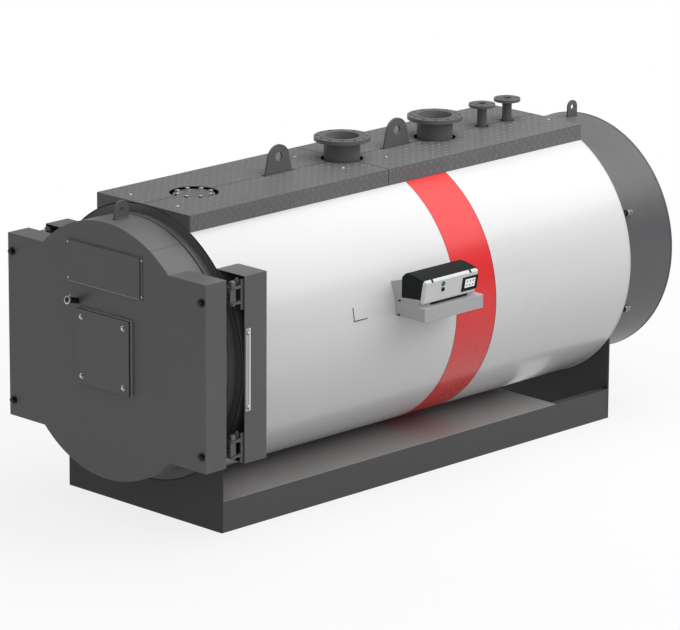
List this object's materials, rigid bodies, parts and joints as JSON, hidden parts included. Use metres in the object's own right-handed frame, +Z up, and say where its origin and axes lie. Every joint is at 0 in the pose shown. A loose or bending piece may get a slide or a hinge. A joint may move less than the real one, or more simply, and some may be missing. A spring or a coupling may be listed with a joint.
{
  "type": "industrial hot water boiler",
  "caption": "Horizontal fire-tube boiler on a steel base frame, with insulated casing, top service deck, flanged nozzles, rear smoke box and a hinged front door.",
  "frame": {"origin": "floor level under the middle cross member of the base, on the centre line", "axes": "+X to the right seen from the front, +Y to the rear (smoke box), +Z up; the front door faces -Y"},
  "size_m": [1.892, 4.2879, 2.0095],
  "materials": {
    "black_steel": "black oxide",
    "boiler_steel": "bare boiler plate",
    "chequer_plate": "painted chequered plate",
    "fascia_plastic": "light grey plastic",
    "floor_panel_paint": "satin grey paint",
    "graphite_paint": "satin dark grey paint",
    "hood_plastic": "black moulded plastic",
    "mineral_wool": "mineral wool blanket",
    "red_casing": "satin red paint",
    "refractory": "cast refractory concrete",
    "seal_rope": "ceramic rope",
    "tray_paint": "light grey paint",
    "white_casing": "satin white paint",
    "zinc_bolts": "zinc plated"
  },
  "bodies": {
    "root": {"base_cross_member": "graphite_paint", "base_end_plates": "graphite_paint", "base_floor_panel": "floor_panel_paint", "base_rails": "graphite_paint", "casing_band": "red_casing", "casing_front": "white_casing", "casing_rear": "white_casing", "cleaning_cover": "graphite_paint", "closing_strip": "zinc_bolts", "deck_bearers": "graphite_paint", "deck_end_plates": "graphite_paint", "deck_front_left": "chequer_plate", "deck_front_right": "chequer_plate", "deck_rear_left": "chequer_plate", "deck_rear_right": "chequer_plate", "drain_nozzle": "graphite_paint", "flow_nozzle": "graphite_paint", "flue_spigot": "graphite_paint", "front_collar": "graphite_paint", "front_tube_plate": "boiler_steel", "furnace_end": "boiler_steel", "furnace_tube": "boiler_steel", "hinge_columns": "graphite_paint", "hinge_forks": "graphite_paint", "hinge_pins": "black_steel", "inspection_bolts": "zinc_bolts", "inspection_cover": "graphite_paint", "inspection_neck": "graphite_paint", "insulation": "mineral_wool", "latch_blocks": "graphite_paint", "lifting_lugs": "graphite_paint", "panel_bracket": "tray_paint", "panel_fascia": "fascia_plastic", "panel_hood": "hood_plastic", "panel_tray": "tray_paint", "pressure_vessel": "boiler_steel", "rating_plate": "white_casing", "rear_tube_plate": "boiler_steel", "return_nozzle": "graphite_paint", "safety_nozzles": "graphite_paint", "smoke_box_clamps": "black_steel", "smoke_box_end": "graphite_paint", "smoke_box_lug": "graphite_paint", "smoke_box_shell": "graphite_paint", "smoke_tubes": "boiler_steel", "support_rings": "graphite_paint"},
    "front_door": {"burner_bolts": "zinc_bolts", "burner_frame": "graphite_paint", "burner_plate": "graphite_paint", "door_lug": "graphite_paint", "door_refractory": "refractory", "door_seal": "seal_rope", "door_shell": "graphite_paint", "door_studs": "black_steel", "hinge_blocks": "graphite_paint", "name_panel_backing": "graphite_paint", "name_panel_blank": "graphite_paint", "sight_tube": "black_steel"}
  },
  "joints": [
    {"name": "door_hinge", "type": "hinge", "parent": "root", "child": "front_door", "pos_m": [0.8, -1.73, 1.015], "axis": [0, 0, 1], "range_deg": [0, 100]}
  ]
}
